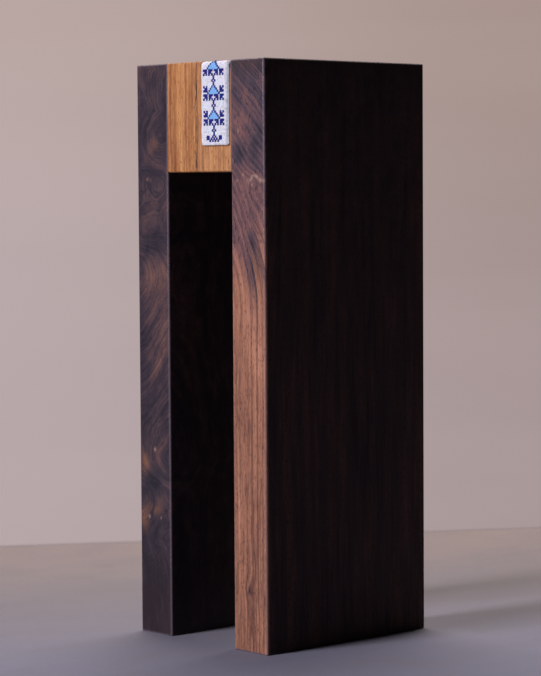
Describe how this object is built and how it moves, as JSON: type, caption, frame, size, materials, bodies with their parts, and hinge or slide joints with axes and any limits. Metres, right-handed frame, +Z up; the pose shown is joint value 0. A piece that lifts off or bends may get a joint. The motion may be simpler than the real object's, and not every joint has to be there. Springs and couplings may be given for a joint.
{
  "type": "mezuzah case",
  "caption": "Free-standing doorway-shaped mezuzah case: dark wood posts, pale two-board lintel, and an embroidered linen saddle cover that lifts off a channel for a rolled scroll.",
  "frame": {"origin": "centre of the footprint, on the surface the case stands on", "axes": "+Z up along the posts; -Y is the front face with the embroidered flap; +X to the right as seen from the front"},
  "size_m": [0.1, 0.1178, 0.3],
  "materials": {
    "walnut": "oiled, dark brown, fine vertical grain",
    "pale_wood": "oiled, honey brown, vertical grain",
    "dowel_wood": "bare, fluted",
    "linen": "plain weave with counted cross-stitch",
    "card": "bare board",
    "parchment": "smooth, thin skin",
    "paper": "matt"
  },
  "bodies": {
    "frame": {"left_post": "walnut", "right_post": "walnut", "left_lintel": "pale_wood", "right_lintel": "pale_wood", "left_front_lower_dowel": "dowel_wood", "left_front_upper_dowel": "dowel_wood", "right_front_lower_dowel": "dowel_wood", "right_front_upper_dowel": "dowel_wood", "left_back_lower_dowel": "dowel_wood", "left_back_upper_dowel": "dowel_wood", "right_back_lower_dowel": "dowel_wood", "right_back_upper_dowel": "dowel_wood", "seam_front_dowel": "dowel_wood", "seam_back_dowel": "dowel_wood"},
    "cover": {"lid_board": "pale_wood", "front_stiffener": "card", "back_stiffener": "card", "linen_cover": "linen"},
    "scroll": {"scroll": "parchment", "scroll_sleeve": "paper"}
  },
  "joints": [
    {"name": "cover_lift", "type": "slide", "parent": "frame", "child": "cover", "axis": [0, 0, 1], "range_m": [0, 0.08]},
    {"name": "scroll_lift", "type": "slide", "parent": "frame", "child": "scroll", "axis": [0, 0, 1], "range_m": [0, 0.04]}
  ],
  "couplings": [
    {"joint": "scroll_lift", "follows": "cover_lift", "ratio": 0.5}
  ]
}
